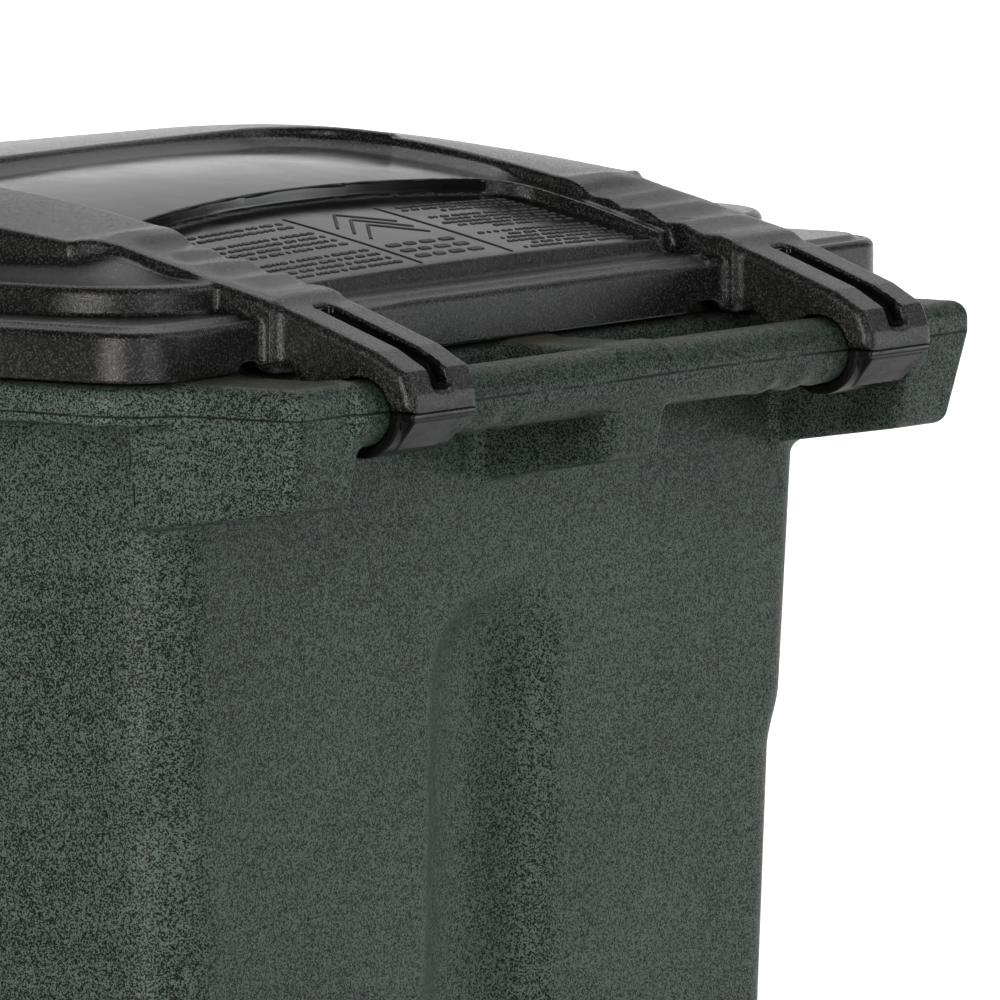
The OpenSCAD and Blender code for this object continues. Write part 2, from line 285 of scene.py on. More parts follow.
AX_Y, AX_Z, WELL = 235.0, 127.0, 141.0


def tub_outer(x, y, z):
    h, a, b = half(z), front(z), rear(z)
    d = box2(x, y, 0, (a + b) / 2, h, (b - a) / 2, 29)
    d = inter(d, -z, 10)
    # wheel wells
    w = np.hypot(y - AX_Y, z - AX_Z) - WELL
    w = uni(w, np.maximum(AX_Y - WELL - y, z - AX_Z), 0)
    w = inter(w, 205 - x, 8)
    d = cut(d, w, 6)
    # raised rear underside, over the axle
    d = cut(d, inter(168 - y, z - 150, 10), 6)
    # concave channel down the rear wall
    R, dep = 86.125, 16.0
    yc = rear(z) - dep + R
    ch = np.hypot(x, y - yc) - R
    top = np.hypot(np.hypot(x, y - yc), np.maximum(z - 840, 0) * 1.35) - R
    ch = np.maximum(ch, top)
    d = cut(d, np.maximum(ch, 176 - z), 4)
    # front pocket of the stop bar, and the saddle under the rim
    p = box2(x, z, 0, 445, 105, 45, 10)
    p = inter(p, y - (-288), 10)
    d = cut(d, p, 5)
    q = poly2(y, z, [(-440, 768), (-361, 768), (-333, 800), (-333, 838), (-440, 838)])
    q = inter(q, x - 115, 12)
    d = cut(d, q, 5)
    return d


def bar_wave(x):
    return 0.8 * np.sin((x - 96) / 4.2) * sstep(92, 104, x) * (1 - sstep(146, 158, x))


def tub_parts(x, y, z):
    o = tub_outer(x, y, z)
    # moulded keeper blocks at the ends of the stop bar's pocket
    cav = o + 5
    kb = inter(box2(x, z, 112.5, 445, 14.5, 50, 6), y - (-300), 3)
    cav = np.maximum(cav, -kb)
    body = cut(o, cav, 1.5)
    # rim flange with its turned-down lip; the seam is a fine groove round the lip
    pl = box2(x, y, 0, -32.5, 304.5, 353.5, 38)
    seam = 0.7 * np.exp(-(((z - 976.5) / 1.1) ** 2))
    lipin = 1.0 * (1 - sstep(974.5, 977.0, z))
    plo = pl + seam + lipin
    fl = inter(plo, z - RIM, 5.5)
    fl = inter(fl, 971.5 - z, 3)
    fl = cut(fl, np.maximum(pl + 4.5, z - (RIM - 5)), 2)
    return o, cav, body, fl, pl


def tub(x, y, z):
    o, cav, body, fl, pl = tub_parts(x, y, z)
    d = uni(body, fl, 5)
    # end blocks and centre block behind the rim
    zb = 922.5 + (y - 292) * (13 / 88.0)
    low = np.clip(976 - z, 0, 60)
    e = inter((x - 278 + 0.16 * low) * 0.99, (y - 382 + 0.2 * low) * 0.98, 7)
    e = inter(e, 224.5 - x, 3)
    e = np.maximum(e, 290 - y)
    e = inter(e, z - RIM, 8)
    e = inter(e, zb - z, 4.5)
    e = np.maximum(e, -(o + 3))
    d = uni(d, e, 6)
    m = inter((x - 23.5 + 0.05 * low) * 0.99, (y - 383 + 0.16 * low) * 0.98, 6)
    m = np.maximum(m, 290 - y)
    m = inter(m, z - RIM, 9)
    m = inter(m, 924 + (y - 292) * (15 / 88.0) - z, 6)
    m = np.maximum(m, -(o + 3))
    d = uni(d, m, 7)
    # handle bar
    w = bar_wave(x) * sstep(BAR_Z + 2, BAR_Z - 10, z)
    bar = np.hypot(y - BAR_Y, z - BAR_Z) - BAR_R - w
    bar = inter(bar, x - 236, 5)
    d = uni(d, bar, 4)
    # axle journals under the rear of the tub
    j = np.minimum(np.abs(x - 185), x + 0 * y)
    j = j - 15
    prof = poly2(y, z, [(186, 162), (AX_Y - 26, AX_Z - 14), (AX_Y - 18, AX_Z - 22), (AX_Y + 18, AX_Z - 22), (AX_Y + 26, AX_Z - 14), (274, 162)])
    j = inter(prof, j, 3)
    d = uni(d, j, 5)
    # open the mouth, bore the journals and the keepers
    d = np.maximum(d, -np.maximum(cav, 900 - z))
    d = np.maximum(d, -np.maximum(np.hypot(y - AX_Y, z - AX_Z) - 8.3, x - 212))
    k = np.hypot(y + 326, z - 445) - 13.1
    k = np.minimum(k, np.maximum(np.abs(z - 445) - 10.9, y + 326))
    d = np.maximum(d, -np.maximum(k, x - 118))
    # relief under the base
    rb = box2(x, y, 0, -75, 190, 195, 12)
    d = np.maximum(d, -inter(rb, z - 4, 2))
    return d


# ------------------------------------------------------------------ the lid
def table(knots, lo, hi, soft, step=0.5):
    """A smoothed height table: f(y) by linear interpolation of a curve through knots, rounded over about soft mm."""
    k = np.array(knots, float)
    t = np.arange(lo, hi + step, step)
    v = np.interp(t, k[:, 0], k[:, 1])
    n = int(3 * soft / step)
    w = np.exp(-0.5 * (np.arange(-n, n + 1) * step / soft) ** 2)
    v = np.convolve(np.pad(v, n, mode="reflect", reflect_type="odd"), w / w.sum(), mode="valid")
    return lambda y: np.interp(y, t, v)


# height of the ribs' inner edge, the ribs' outer edge, and the stepped knuckles that lead down to the arms
EDGE = table([(-400, 1015), (-340, 1022), (-260, 1031), (-190, 1038.5), (-121, 1045.5), (-73, 1050.5), (-34, 1055), (4.8, 1059.4), (24, 1061.5), (45, 1063.2),
              (65, 1064.4), (85, 1065), (105, 1064.9), (124, 1064.3), (146, 1062.9), (170, 1060.1), (197, 1055.8), (220, 1051.6), (234, 1048.4), (260, 1041), (330, 1020)], -402, 332, 7)
OUTER = table([(-400, 1011), (-340, 1017.5), (-260, 1026), (-190, 1034), (-121, 1043), (-82, 1047.7), (-43, 1051.8), (-3, 1056), (36, 1058), (65, 1058.9),
               (94, 1058.3), (114, 1057.4), (133, 1056.1), (152, 1054.5), (172, 1052.9), (191, 1051), (210, 1048.8), (228, 1046.6), (245, 1045.2), (262, 1041.4), (330, 1021)], -402, 332, 7)
KNUCK = table([(225, 1050.7), (236, 1048.3), (242.5, 1046), (248.8, 1040.9), (259.5, 1039.9), (266.2, 1035.9), (278.7, 1036.1), (288.3, 1030.5), (299, 1030.6),
               (309.2, 1023.9), (318.5, 1024.6), (328, 1021.2)], 222, 332, 1.5)
FAIR = table([(225, 1050.7), (242.5, 1045.4), (255, 1042.0), (278.7, 1036.2), (299, 1030.2), (318.5, 1024.6), (328, 1021.2)], 222, 332, 4)


def plateau(x, y):
    return 1056.3 - 0.0008 * (y - 95) ** 2 + 3.2 * (1 - (np.minimum(x, 160) / 153) ** 2)


def divider(x):
    return 208 - 14 * (1 - (np.minimum(x, 153) / 153) ** 2)


def sunk(x, y):
    t = np.clip((y - 208) / 83, 0, 1)
    return plateau(x, y) - 7.2 + (2.9 + 1.1 * (np.minimum(x, 153) / 153) ** 2) * t * t


ARM = [(300, 1000), (306, 993), (334, 992.5), (351, 976), (400, 976), (399.6, 984), (395.5, 994.3), (380.3, 1002.9), (340, 1017.6), (326, 1021.9), (300, 1026)]
GROOVE = [(331, 1040), (334, 1014), (384, 994), (391, 985), (412, 985), (412, 1040)]


def rib_height(x, y):
    u = np.clip((x - 161) / 69, -0.1, 1.3)
    z = EDGE(y) - 1.4 + (OUTER(y) - EDGE(y)) * (0.35 * u + 0.65 * u * u)
    k = KNUCK(y) + (FAIR(y) - KNUCK(y)) * sstep(193, 214, x) - 1.0 * (np.clip((x - 188) / 27, -1, 1)) ** 2
    return z + (k - z) * sstep(226, 238, y)


def lid_outer(x, y, z):
    skp = box2(x, y, 0, -39, 308, 361, 29)
    topz = TOP + 1.8 * sstep(-7, -11, skp) - 0.5 * np.exp(-(((skp + 5.5) / 1.2) ** 2))
    d = inter(skp, z - topz, 4)
    # shoulders
    shp = box2(x, y, 0, -27, 269, 325, 55)
    edge = np.clip(-shp, 0, 60)
    zs = 1029.6 + 9.5 * sstep(6, 58, edge) * sstep(304, 246, y)
    sh = inter(shp, (z - zs) * 0.97, 4.5)
    sh = np.maximum(sh, 175 - x)
    d = uni(d, sh, 2.2)
    # ribs; their outer face steps in at the knuckles
    t = np.clip((y - 227) / 19, 0, 1)
    W = 230 - 15 * t * t * (3 - 2 * t)
    slope = 15 * 6 * t * (1 - t) / 19
    side = (x - W - 0.16 * np.clip(1050 - z, 0, 14)) / np.sqrt(1 + slope * slope) * 0.98
    plan = np.maximum(161 - x, side)
    plan = np.maximum(plan, np.maximum(-372 - y, y - 326))
    rb = inter(plan, (z - rib_height(x, y)) * 0.9, 2.4)
    d = uni(d, rb, 3)
    # front field, with the rounded front corners of the recess
    rec = box2(x, y, 0, 280, 161, 200, 36)
    zf = EDGE(y) + 0.9 * (1 - (np.minimum(x, 161) / 161) ** 2)
    ff = np.maximum(np.maximum(x - 168, y - 140), np.maximum(-rec, -372 - y))
    ff = inter(ff, (z - zf) * 0.98, 2.4)
    d = uni(d, ff, 0.4)
    # plateau that the panels lie in, with a sloped band along the recess wall and a sloped rear
    band = 3.9 * np.clip(1 + rec / 12.0, 0, 1) * (1 - sstep(196, 214, y))
    pz = plateau(x, y) + band
    zr = 1024.6 - 2 * (np.minimum(x, 160) / 153) ** 2 + 2.6 * sstep(152, 155, x)
    pt = np.maximum(x - 168, 60 - y)
    pt = inter(pt, (z - pz) * 0.95, 1)
    pt = inter(pt, (y - 291) * 0.93 + (z - zr) * 0.37, 1.3)
    d = uni(d, pt, 2.5)
    # sunk rear panel, open to the rear
    q = box2(x, y - divider(x), 0, 60, 153, 60, 17)
    d = cut(d, inter(q, (sunk(x, y) - z) * 0.95, 2.0), 0.9)
    return d


def lid(x, y, z):
    o = lid_outer(x, y, z)
    # the skirt's bottom edge arches up beside each arm
    ay = np.exp(-(((x - 146) / 13) ** 4)) + np.exp(-(((x - 226) / 9) ** 4))
    bot = SK + 4.8 * ay * sstep(306, 318, y)
    d = cut(o, o + 3.6, 0.8)
    d = inter(d, bot - z, 1.2)
    # hinge arms
    a = inter(poly2(y, z, ARM), np.abs(x - 188) - 27, 4.6)
    d = uni(d, a, 7)
    gr = inter(poly2(y, z, GROOVE), np.abs(x - 188) - 7, 3.0)
    d = cut(d, gr, 2.2)
    # everything under the arm stays clear of the bar and the rim
    d = np.maximum(d, -np.maximum(np.hypot(y - BAR_Y, z - BAR_Z) - 16.0, np.abs(x - 188) - 40))
    d = np.maximum(d, 975.9 - z)
    # grab lip at the front
    l = inter(box2(x, y, 0, -394, 90, 6, 5), np.abs(z - 986.5) - 7, 2)
    d = uni(d, l, 3)
    return d


def clip(x, y, z):
    """Saddle under an arm; x is measured from the arm's middle."""
    r = np.hypot(y - BAR_Y, z - BAR_Z)
    ring = np.maximum(r - 20.2, 15.6 - r)
    ring = np.maximum(ring, z - (BAR_Z + 0.7))
    ring = inter(ring, np.abs(x) - 25.5, 1.0)
    fl = inter(box2(y, z, 377.5, BAR_Z - 0.7, 22.0, 1.6, 0.8), np.abs(x) - 25.5, 1.0)
    fl = np.maximum(fl, 16.0 - r)
    # sloped rear plate, narrower towards its foot
    pl = poly2(y, z, [(381, 958.5), (384.5, 958.5), (398, 971.5), (398, 975), (394, 975)])
    wid = 16 + (z - 958) * 0.45
    pl = inter(pl, np.abs(x) - wid, 0.8)
    pl = uni(pl, inter(poly2(y, z, [(376, 957), (386, 962), (396, 975), (376, 975)]), np.abs(np.abs(x) - wid + 1.0) - 1.1, 0.4), 1.2)
    d = uni(uni(ring, fl, 1.2), pl, 1.2)
    return np.maximum(d, 15.6 - r)


# ------------------------------------------------------------------ node materials
def new_mat(name):
    m = bpy.data.materials.new(name)
    m.use_nodes = True
    nt = m.node_tree
    nt.nodes.clear()
    out = nt.nodes.new("ShaderNodeOutputMaterial")
    b = nt.nodes.new("ShaderNodeBsdfPrincipled")
    nt.links.new(b.outputs[0], out.inputs[0])
    return m, nt, b


class G:
    """Small helper that wires value and colour nodes."""

    def __init__(self, nt):
        self.nt = nt
        tc = nt.nodes.new("ShaderNodeTexCoord")
        self.co = tc.outputs["Object"]
        self.sep = None

    def _in(self, sock, v):
        if hasattr(v, "is_output"):
            self.nt.links.new(v, sock)
        elif isinstance(v, (tuple, list)) and sock.type == "RGBA" and len(v) == 3:
            sock.default_value = (*v, 1)
        else:
            sock.default_value = v

    def m(self, op, a, b=0.0, c=0.0, clamp=False):
        n = self.nt.nodes.new("ShaderNodeMath")
        n.operation = op
        n.use_clamp = clamp
        self._in(n.inputs[0], a)
        self._in(n.inputs[1], b)
        if op in ("MULTIPLY_ADD", "SMOOTH_MIN", "SMOOTH_MAX", "COMPARE"):
            self._in(n.inputs[2], c)
        return n.outputs[0]

    def noise(self, scale, detail=3.0, rough=0.5, distort=0.0, co=None, w=None):
        n = self.nt.nodes.new("ShaderNodeTexNoise")
        n.inputs["Scale"].default_value = scale
        n.inputs["Detail"].default_value = detail
        n.inputs["Roughness"].default_value = rough
        n.inputs["Distortion"].default_value = distort
        self.nt.links.new(co or self.co, n.inputs["Vector"])
        return n.outputs["Fac"] if "Fac" in n.outputs else n.outputs[0]

    def voro(self, scale, out="Distance", feature="F1", co=None, rnd=1.0):
        n = self.nt.nodes.new("ShaderNodeTexVoronoi")
        n.feature = feature
        n.inputs["Scale"].default_value = scale
        n.inputs["Randomness"].default_value = rnd
        self.nt.links.new(co or self.co, n.inputs["Vector"])
        return n.outputs[out]

    def chan(self, colour, i=0):
        n = self.nt.nodes.new("ShaderNodeSeparateColor")
        self.nt.links.new(colour, n.inputs[0])
        return n.outputs[i]

    def xyz(self, i):
        if self.sep is None:
            self.sep = self.nt.nodes.new("ShaderNodeSeparateXYZ")
            self.nt.links.new(self.co, self.sep.inputs[0])
        return self.sep.outputs[i]

    def ramp(self, v, a, b, lo=0.0, hi=1.0, smooth=True):
        n = self.nt.nodes.new("ShaderNodeMapRange")
        n.interpolation_type = "SMOOTHSTEP" if smooth else "LINEAR"
        n.clamp = True
        self._in(n.inputs["Value"], v)
        n.inputs["From Min"].default_value = a
        n.inputs["From Max"].default_value = b
        n.inputs["To Min"].default_value = lo
        n.inputs["To Max"].default_value = hi
        return n.outputs["Result"]

    def mix(self, f, a, b):
        n = self.nt.nodes.new("ShaderNodeMix")
        n.data_type = "RGBA"
        self._in(n.inputs[0], f)
        self._in(n.inputs[6], a)
        self._in(n.inputs[7], b)
        return n.outputs[2]

    def bump(self, h, strength, dist, prev=None):
        n = self.nt.nodes.new("ShaderNodeBump")
        n.inputs["Strength"].default_value = strength
        n.inputs["Distance"].default_value = dist
        self.nt.links.new(h, n.inputs["Height"])
        if prev is not None:
            self.nt.links.new(prev, n.inputs["Normal"])
        return n.outputs[0]

    def stretch(self, sx, sy, sz, loc=(0, 0, 0)):
        n = self.nt.nodes.new("ShaderNodeMapping")
        n.inputs["Scale"].default_value = (sx, sy, sz)
        n.inputs["Location"].default_value = loc
        self.nt.links.new(self.co, n.inputs["Vector"])
        return n.outputs[0]

    def point(self):
        n = self.nt.nodes.new("ShaderNodeNewGeometry")
        return n.outputs["Pointiness"]

    def attr(self, name):
        n = self.nt.nodes.new("ShaderNodeAttribute")
        n.attribute_name = name
        return n.outputs["Fac"]


def mat_tub():
    m, nt, b = new_mat("tub_granite")
    g = G(nt)
    big = g.noise(6, 3, 0.5)
    fine = g.noise(1080, 2, 0.6)
    cell = g.chan(g.voro(1400, "Color"), 0)
    cell2 = g.chan(g.voro(2500, "Color"), 1)
    v = g.m("ADD", g.m("MULTIPLY", cell, 0.45), g.m("ADD", g.m("MULTIPLY", cell2, 0.3), g.m("MULTIPLY", fine, 0.6)))
    v = g.m("ADD", v, g.m("MULTIPLY", g.m("SUBTRACT", big, 0.5), 0.22))
    f = g.ramp(v, 0.55, 0.825)
    col = g.mix(f, (0.0065, 0.007, 0.006), (0.134, 0.179, 0.15))
    col = g.mix(g.ramp(g.noise(2.2, 2, 0.5), 0.5, 0.75, 0, 0.25), col, (0.052, 0.052, 0.043))
    # lighter convex edges: partly edge wear, partly a painted highlight standing in for glints on the rim and block
    # edges
    pale_edges = g.ramp(g.m("ADD", g.point(), g.m("MULTIPLY", g.m("SUBTRACT", g.noise(160, 4, 0.7), 0.5), 0.12)), 0.56, 0.66, 0, 0.5)
    col = g.mix(pale_edges, col, (0.17, 0.19, 0.17))
    up = nt.nodes.new("ShaderNodeSeparateXYZ")
    nt.links.new(nt.nodes.new("ShaderNodeNewGeometry").outputs["Normal"], up.inputs[0])
    dust = g.m("MULTIPLY", g.ramp(up.outputs[2], 0.72, 0.97), g.ramp(g.m("ADD", g.noise(34, 4, 0.65), g.m("MULTIPLY", g.noise(700, 2, 0.5), 0.25)), 0.45, 0.8, 0.12, 0.75))
    grip = g.m("MULTIPLY", g.ramp(g.xyz(1), 0.343, 0.352), g.ramp(g.m("ABSOLUTE", g.xyz(0)), 0.226, 0.232, 1, 0))
    dust = g.m("MULTIPLY", dust, g.m("SUBTRACT", 1.0, g.m("MULTIPLY", grip, 0.75)))
    col = g.mix(dust, col, (0.105, 0.08, 0.05))
    line = g.m("ABSOLUTE", g.m("ADD", g.m("SUBTRACT", g.xyz(2), 0.9763), g.m("MULTIPLY", g.m("SUBTRACT", g.noise(11, 2, 0.5), 0.5), 0.0022)))
    line = g.m("MULTIPLY", g.ramp(line, 0.0002, 0.0008, 1, 0), g.ramp(g.noise(28, 3, 0.6), 0.32, 0.5, 0.25, 0.9))
    col = g.mix(line, col, (0.006, 0.006, 0.005))
    # painted shade: ambient occlusion darkens the colour, up to halfway towards near black, in creases, under the rim
    # and round the blocks and handle, a little deeper over the grip region
    ao = nt.nodes.new("ShaderNodeAmbientOcclusion")
    ao.samples = 6
    ao.inputs["Distance"].default_value = 0.085
    painted_shade = g.ramp(ao.outputs["AO"], 0.25, 0.95, 0.5, 1.0)
    painted_shade = g.m("MULTIPLY", painted_shade, g.m("SUBTRACT", 1.0, g.m("MULTIPLY", grip, 0.24)))
    col = g.mix(painted_shade, (0.004, 0.0045, 0.004), col)
    g._in(b.inputs["Base Color"], col)
    g._in(b.inputs["Roughness"], g.ramp(g.noise(420, 3, 0.6), 0.3, 0.7, 0.34, 0.52))
    b.inputs["Specular IOR Level"].default_value = 0.15
    h = g.m("ADD", g.noise(900, 3, 0.6), g.m("MULTIPLY", g.noise(260, 2, 0.5), 0.8))
    n1 = g.bump(h, 0.2, 0.0007)
    n2 = g.bump(g.noise(14, 3, 0.45), 0.25, 0.004, n1)
    n3 = g.bump(g.m("SUBTRACT", 1.0, line), 0.5, 0.0006, n2)
    g._in(b.inputs["Normal"], n3)
    return m


def mat_lid():
    m, nt, b = new_mat("lid_black")
    g = G(nt)
    s = g.attr("smoothness")
    s = g.ramp(g.m("ADD", s, g.m("MULTIPLY", g.m("SUBTRACT", g.noise(90, 2, 0.5), 0.5), 0.1)), 0.35, 0.65)
    base = g.mix(g.ramp(g.noise(9, 4, 0.55), 0.35, 0.7), (0.0045, 0.0045, 0.0043), (0.0085, 0.0085, 0.008))
    # light specks in the base colour, kept off the smooth panels: partly grain, partly painted glints standing in for
    # sparkle
    speck_and_glint = g.ramp(g.chan(g.voro(1500, "Color"), 0), 0.62, 1.0)
    speck_and_glint = g.m("MULTIPLY", speck_and_glint, g.m("SUBTRACT", 1.0, s))
    base = g.mix(g.m("MULTIPLY", speck_and_glint, 0.5), base, (0.11, 0.11, 0.108))
    pale_edges = g.ramp(g.m("ADD", g.point(), g.m("MULTIPLY", g.m("SUBTRACT", g.noise(210, 4, 0.7), 0.5), 0.1)), 0.56, 0.66, 0, 0.35)
    base = g.mix(pale_edges, base, (0.07, 0.07, 0.068))
    g._in(b.inputs["Base Color"], base)
    r0 = g.ramp(g.noise(700, 2, 0.6), 0.3, 0.7, 0.15, 0.27)
    smear = g.ramp(g.noise(18, 4, 0.6), 0.3, 0.75, 0.10, 0.2)
    n = nt.nodes.new("ShaderNodeMix")
    nt.links.new(s, n.inputs[0])
    nt.links.new(r0, n.inputs[2])
    nt.links.new(smear, n.inputs[3])
    g._in(b.inputs["Roughness"], n.outputs[0])
    up = nt.nodes.new("ShaderNodeSeparateXYZ")
    nt.links.new(nt.nodes.new("ShaderNodeNewGeometry").outputs["Normal"], up.inputs[0])
    ledge = g.m("MULTIPLY", g.ramp(g.xyz(1), 0.284, 0.292), g.ramp(g.m("ABSOLUTE", g.xyz(0)), 0.157, 0.163, 1, 0))
    ledge = g.m("MULTIPLY", ledge, g.ramp(up.outputs[2], 0.6, 0.85))
    spec = g.m("MULTIPLY", g.ramp(s, 0.0, 1.0, 0.5, 0.25), g.m("SUBTRACT", 1.0, g.m("MULTIPLY", ledge, 0.55)))
    g._in(b.inputs["Specular IOR Level"], spec)
    grain = g.m("MULTIPLY", g.noise(1700, 2, 0.5), 1.5)
    hs = g.m("MULTIPLY", grain, g.m("SUBTRACT", 1.0, g.m("MULTIPLY", s, 0.95)))
    n1 = g.bump(hs, 1.0, 0.00016)
    n2 = g.bump(g.noise(22, 2, 0.5), 0.12, 0.002, n1)
    g._in(b.inputs["Normal"], n2)
    return m


def mat_gloss(name, col=(0.012, 0.012, 0.012), r=(0.12, 0.3), grain=0.12, scale=500):
    m, nt, b = new_mat(name)
    g = G(nt)
    c = g.mix(g.ramp(g.noise(30, 4, 0.6), 0.35, 0.7), col, tuple(q * 1.8 for q in col))
    pale_edges = g.ramp(g.m("ADD", g.point(), g.m("MULTIPLY", g.m("SUBTRACT", g.noise(300, 4, 0.7), 0.5), 0.1)), 0.56, 0.68, 0, 0.4)
    c = g.mix(pale_edges, c, (0.09, 0.09, 0.088))
    g._in(b.inputs["Base Color"], c)
    g._in(b.inputs["Roughness"], g.ramp(g.noise(60, 4, 0.65), 0.3, 0.7, r[0], r[1]))
    n1 = g.bump(g.noise(scale, 3, 0.6), grain, 0.0006)
    g._in(b.inputs["Normal"], g.bump(g.noise(40, 2, 0.5), 0.15, 0.0015, n1))
    return m


def mat_rubber():
    m, nt, b = new_mat("tyre_rubber_looks")
    g = G(nt)
    dust = g.ramp(g.m("ADD", g.noise(26, 5, 0.65), g.m("MULTIPLY", g.noise(300, 3, 0.6), 0.3)), 0.55, 0.95)
    c = g.mix(dust, (0.013, 0.013, 0.0125), (0.062, 0.058, 0.05))
    g._in(b.inputs["Base Color"], c)
    g._in(b.inputs["Roughness"], g.ramp(g.noise(120, 4, 0.6), 0.3, 0.7, 0.62, 0.86))
    n1 = g.bump(g.noise(900, 3, 0.6), 0.4, 0.0005)
    g._in(b.inputs["Normal"], g.bump(g.voro(160, "Distance"), 0.1, 0.001, n1))
    return m


def mat_metal(name, col, r=(0.25, 0.45), spangle=False):
    m, nt, b = new_mat(name)
    g = G(nt)
    turned = g.noise(1.0, 3, 0.6, co=g.stretch(2400, 60, 60))
    v = g.ramp(g.noise(45, 5, 0.65), 0.35, 0.75)
    c = g.mix(v, col, tuple(q * 0.62 for q in col))
    if spangle:
        c = g.mix(g.ramp(g.chan(g.voro(130, "Color"), 0), 0.2, 0.9, 0, 0.5), c, tuple(min(1, q * 1.25) for q in col))
    rust = g.ramp(g.m("ADD", g.noise(38, 6, 0.7), g.m("MULTIPLY", g.noise(220, 3, 0.6), 0.25)), 0.74, 0.88, 0, 0.5)
    c = g.mix(rust, c, (0.16, 0.075, 0.035))
    g._in(b.inputs["Base Color"], c)
    g._in(b.inputs["Metallic"], g.m("SUBTRACT", 1.0, rust))
    g._in(b.inputs["Roughness"], g.m("ADD", g.ramp(g.noise(80, 4, 0.6), 0.3, 0.7, r[0], r[1]), g.m("MULTIPLY", rust, 0.3)))
    g._in(b.inputs["Normal"], g.bump(turned, 0.12, 0.0003))
    return m


def mat_bush():
    m, nt, b = new_mat("bush_acetal")
    g = G(nt)
    c = g.mix(g.ramp(g.noise(60, 4, 0.6), 0.3, 0.75), (0.55, 0.54, 0.50), (0.42, 0.40, 0.35))
    g._in(b.inputs["Base Color"], c)
    g._in(b.inputs["Roughness"], g.ramp(g.noise(140, 4, 0.6), 0.3, 0.7, 0.35, 0.55))
    g._in(b.inputs["Normal"], g.bump(g.noise(700, 2, 0.5), 0.15, 0.0003))
    return m


def put(ob, mat):
    ob.data.materials.clear()
    ob.data.materials.append(mat)


# ------------------------------------------------------------------ pieces
M_TUB, M_LID = mat_tub(), mat_lid()
M_CLIP = mat_gloss("clip_gloss", (0.005, 0.005, 0.005), (0.12, 0.3), 0.12, 420)
M_CLIP.node_tree.nodes["Principled BSDF"].inputs["Specular IOR Level"].default_value = 0.17
M_BLACK = mat_gloss("moulded_black", (0.014, 0.014, 0.014), (0.34, 0.55), 0.4, 800)
M_MARK = mat_gloss("mark_black", (0.012, 0.012, 0.012), (0.5, 0.7), 0.5, 900)
M_TYRE, M_BUSH = mat_rubber(), mat_bush()
M_STEEL = mat_metal("axle_steel", (0.50, 0.49, 0.47))
M_ZINC = mat_metal("zinc_plate", (0.62, 0.64, 0.66), (0.28, 0.42), True)

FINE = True
xh = axis((0, 318, 3.0 if FINE else 3.5))
ys = axis((-400, -280, 3.5), (-280, 80, 8.0), (80, 262, 3.5), (262, 296, 2.4), (296, 392, 1.6 if FINE else 2.4))
zs = axis((-6, 290, 3.5), (290, 380, 7.0), (380, 510, 3.5), (510, 640, 6.0), (640, 900, 3.5), (900, 996, 1.6 if FINE else 2.4))
tub_ob = field_mesh("tub_shell", tub, xh, ys, zs, 196000, 3)
xh = axis((0, 314, 2.0 if FINE else 3.0))
ys = axis((-410, -100, 4.0), (-100, 200, 2.5 if FINE else 3.5), (200, 406, 1.4 if FINE else 2.2))
zs = axis((970, 1074, 1.4 if FINE else 2.2))
lid_ob = field_mesh("lid_shell", lid, xh, ys, zs, 196000, 3)
put(tub_ob, M_TUB)
put(lid_ob, M_LID)
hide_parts("bin_body")
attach(tub_ob, "bin")
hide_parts("lid")
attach(lid_ob, "lid")


def lid_smoothness(ob):
    me = ob.data
    co = np.zeros(len(me.vertices) * 3)
    me.vertices.foreach_get("co", co)
    P = co.reshape(-1, 3) * 1000
    x, y, z = np.abs(P[:, 0]), P[:, 1], P[:, 2]
    rec = box2(x, y, 0, 280, 161, 200, 36)
    p1 = (x < 150.5) & (y > divider(x) + 2) & (y < 290) & (z < sunk(x, y) + 0.8)
    p2 = (rec < -12.5) & (y < divider(x) + 0.5) & (y > 60) & (z < plateau(x, y) + 0.8)
    p3 = (np.abs(x - 188) < 8.2) & (y > 330) & (y < 392) & (z < 1017.5 - (y - 340) * 0.37 - 1.5)
    p1 = p1 | p3
    a = me.attributes.new("smoothness", "FLOAT", "POINT")
    a.data.foreach_set("value", (p1 | p2).astype(np.float32))


lid_smoothness(lid_ob)

